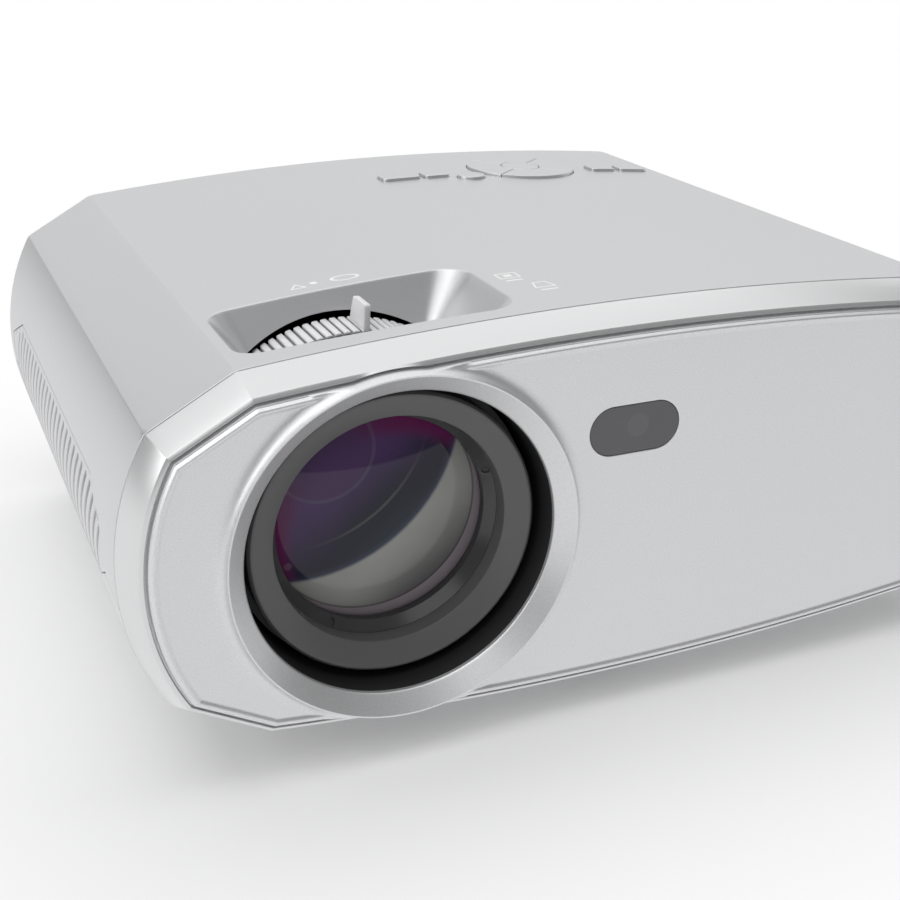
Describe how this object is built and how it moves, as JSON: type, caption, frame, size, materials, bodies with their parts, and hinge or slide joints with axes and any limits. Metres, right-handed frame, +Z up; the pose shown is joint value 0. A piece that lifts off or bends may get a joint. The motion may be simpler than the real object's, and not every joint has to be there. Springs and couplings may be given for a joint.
{
  "type": "mini projector",
  "caption": "Low rectangular home projector with bulged sides, a large front lens, a focus ring in a sunk recess, slanted side grilles, keys on top and rear sockets.",
  "frame": {"origin": "on the surface the projector stands on, under the middle of its box", "axes": "+Z up, -Y towards the screen, +X to the right for someone facing the lens"},
  "size_m": [0.33, 0.2624, 0.1418],
  "materials": {
    "shell": "fine satin, pale silver grey",
    "bezel": "satin gloss, pale silver",
    "face": "silver with a fine metallic grain",
    "black_plastic": "matte black",
    "window": "gloss, dark, lets infrared through",
    "board": "solder mask green",
    "grille": "satin, pale silver grey",
    "rear_plastic": "matte dark grey",
    "ring_plastic": "satin pale grey",
    "barrel_plastic": "satin dark grey",
    "coated_glass": "polished, purple and green coating",
    "clear_glass": "polished",
    "acrylic": "clear with fine rings",
    "dark_metal": "black paint",
    "steel": "plated",
    "mirror": "front silvered",
    "liquid_crystal": "dark gloss",
    "aluminium": "bare, smooth",
    "components": "dark gloss",
    "key_plastic": "satin pale grey",
    "rubber": "matte black",
    "brass": "bare"
  },
  "bodies": {
    "housing": {"top_cover": "shell", "bottom_cover": "shell", "front_bezel": "bezel", "front_panel": "face", "lens_shroud": "black_plastic", "lens_holder": "black_plastic", "ring_retainer": "black_plastic", "optics_housing": "black_plastic", "optics_lid": "black_plastic", "exhaust_fan_frame": "black_plastic", "intake_fan_frame": "black_plastic", "audio_jack": "black_plastic", "power_inlet": "black_plastic", "sensor_window": "window", "ir_receiver": "board", "main_board": "board", "power_board": "board", "key_board": "board", "left_grille": "grille", "right_grille": "grille", "rear_panel": "rear_plastic", "condenser_lens": "clear_glass", "front_fresnel": "acrylic", "rear_fresnel": "acrylic", "speakers": "dark_metal", "housing_screws": "steel", "hdmi_sockets": "steel", "usb_sockets": "steel", "fold_mirror": "mirror", "lcd_panel": "liquid_crystal", "light_cone": "aluminium", "led_module": "aluminium", "led_heatsink": "aluminium", "power_parts": "components", "rear_feet": "rubber", "bracket_inserts": "brass"},
    "focus": {"focus_ring": "ring_plastic"},
    "barrel": {"lens_barrel": "barrel_plastic", "drive_pins": "steel", "lens_retaining_ring": "barrel_plastic", "front_lens": "coated_glass", "middle_lens": "clear_glass", "lens_spacer": "dark_metal", "rear_lens": "clear_glass", "rear_retaining_ring": "dark_metal"},
    "exhaust_rotor": {"exhaust_fan_rotor": "black_plastic"},
    "intake_rotor": {"intake_fan_rotor": "black_plastic"},
    "foot_collar": {"foot_stop_ring": "steel"},
    "foot": {"foot_screw": "rear_plastic", "foot_pad": "rubber"},
    "menu": {"menu_key": "key_plastic"},
    "source": {"source_key": "key_plastic"},
    "volume_down": {"volume_down_key": "key_plastic"},
    "volume_up": {"volume_up_key": "key_plastic"},
    "power": {"power_key": "key_plastic"},
    "ok": {"ok_key": "key_plastic"},
    "right": {"right_key": "key_plastic"},
    "up": {"up_key": "key_plastic"},
    "left": {"left_key": "key_plastic"},
    "down": {"down_key": "key_plastic"}
  },
  "joints": [
    {"name": "focus_turn", "type": "hinge", "parent": "housing", "child": "focus", "pos_m": [-0.0788, -0.07235, 0.0743], "axis": [0, 1, 0], "range_deg": [-35.4, 24.6]},
    {"name": "barrel_slide", "type": "slide", "parent": "housing", "child": "barrel", "axis": [0, -1, 0], "range_m": [-0.0048, 0.0034]},
    {"name": "exhaust_spin", "type": "hinge", "parent": "housing", "child": "exhaust_rotor", "pos_m": [0.14, 0.02475, 0.0743], "axis": [1, 0, 0], "continuous": true},
    {"name": "intake_spin", "type": "hinge", "parent": "housing", "child": "intake_rotor", "pos_m": [-0.14, 0.06475, 0.0743], "axis": [1, 0, 0], "continuous": true},
    {"name": "foot_lift", "type": "slide", "parent": "housing", "child": "foot_collar", "axis": [0, 0, -1], "range_m": [0, 0.01155]},
    {"name": "foot_turn", "type": "hinge", "parent": "foot_collar", "child": "foot", "pos_m": [0, -0.08725, 0.0343], "axis": [0, 0, -1], "range_deg": [0, 1380]},
    {"name": "menu_press", "type": "slide", "parent": "housing", "child": "menu", "axis": [0, 0, -1], "range_m": [0, 0.0006], "stiffness_N_per_m": 900},
    {"name": "source_press", "type": "slide", "parent": "housing", "child": "source", "axis": [0, 0, -1], "range_m": [0, 0.0006], "stiffness_N_per_m": 900},
    {"name": "volume_down_press", "type": "slide", "parent": "housing", "child": "volume_down", "axis": [0, 0, -1], "range_m": [0, 0.0006], "stiffness_N_per_m": 900},
    {"name": "volume_up_press", "type": "slide", "parent": "housing", "child": "volume_up", "axis": [0, 0, -1], "range_m": [0, 0.0006], "stiffness_N_per_m": 900},
    {"name": "power_press", "type": "slide", "parent": "housing", "child": "power", "axis": [0, 0, -1], "range_m": [0, 0.0006], "stiffness_N_per_m": 900},
    {"name": "ok_press", "type": "slide", "parent": "housing", "child": "ok", "axis": [0, 0, -1], "range_m": [0, 0.0006], "stiffness_N_per_m": 900},
    {"name": "right_press", "type": "slide", "parent": "housing", "child": "right", "axis": [0, 0, -1], "range_m": [0, 0.0006], "stiffness_N_per_m": 900},
    {"name": "up_press", "type": "slide", "parent": "housing", "child": "up", "axis": [0, 0, -1], "range_m": [0, 0.0006], "stiffness_N_per_m": 900},
    {"name": "left_press", "type": "slide", "parent": "housing", "child": "left", "axis": [0, 0, -1], "range_m": [0, 0.0006], "stiffness_N_per_m": 900},
    {"name": "down_press", "type": "slide", "parent": "housing", "child": "down", "axis": [0, 0, -1], "range_m": [0, 0.0006], "stiffness_N_per_m": 900}
  ],
  "couplings": [
    {"joint": "barrel_slide", "follows": "focus_turn", "m_per_rad": 0.0076394},
    {"joint": "foot_lift", "follows": "foot_turn", "m_per_rad": 0.00047746}
  ]
}
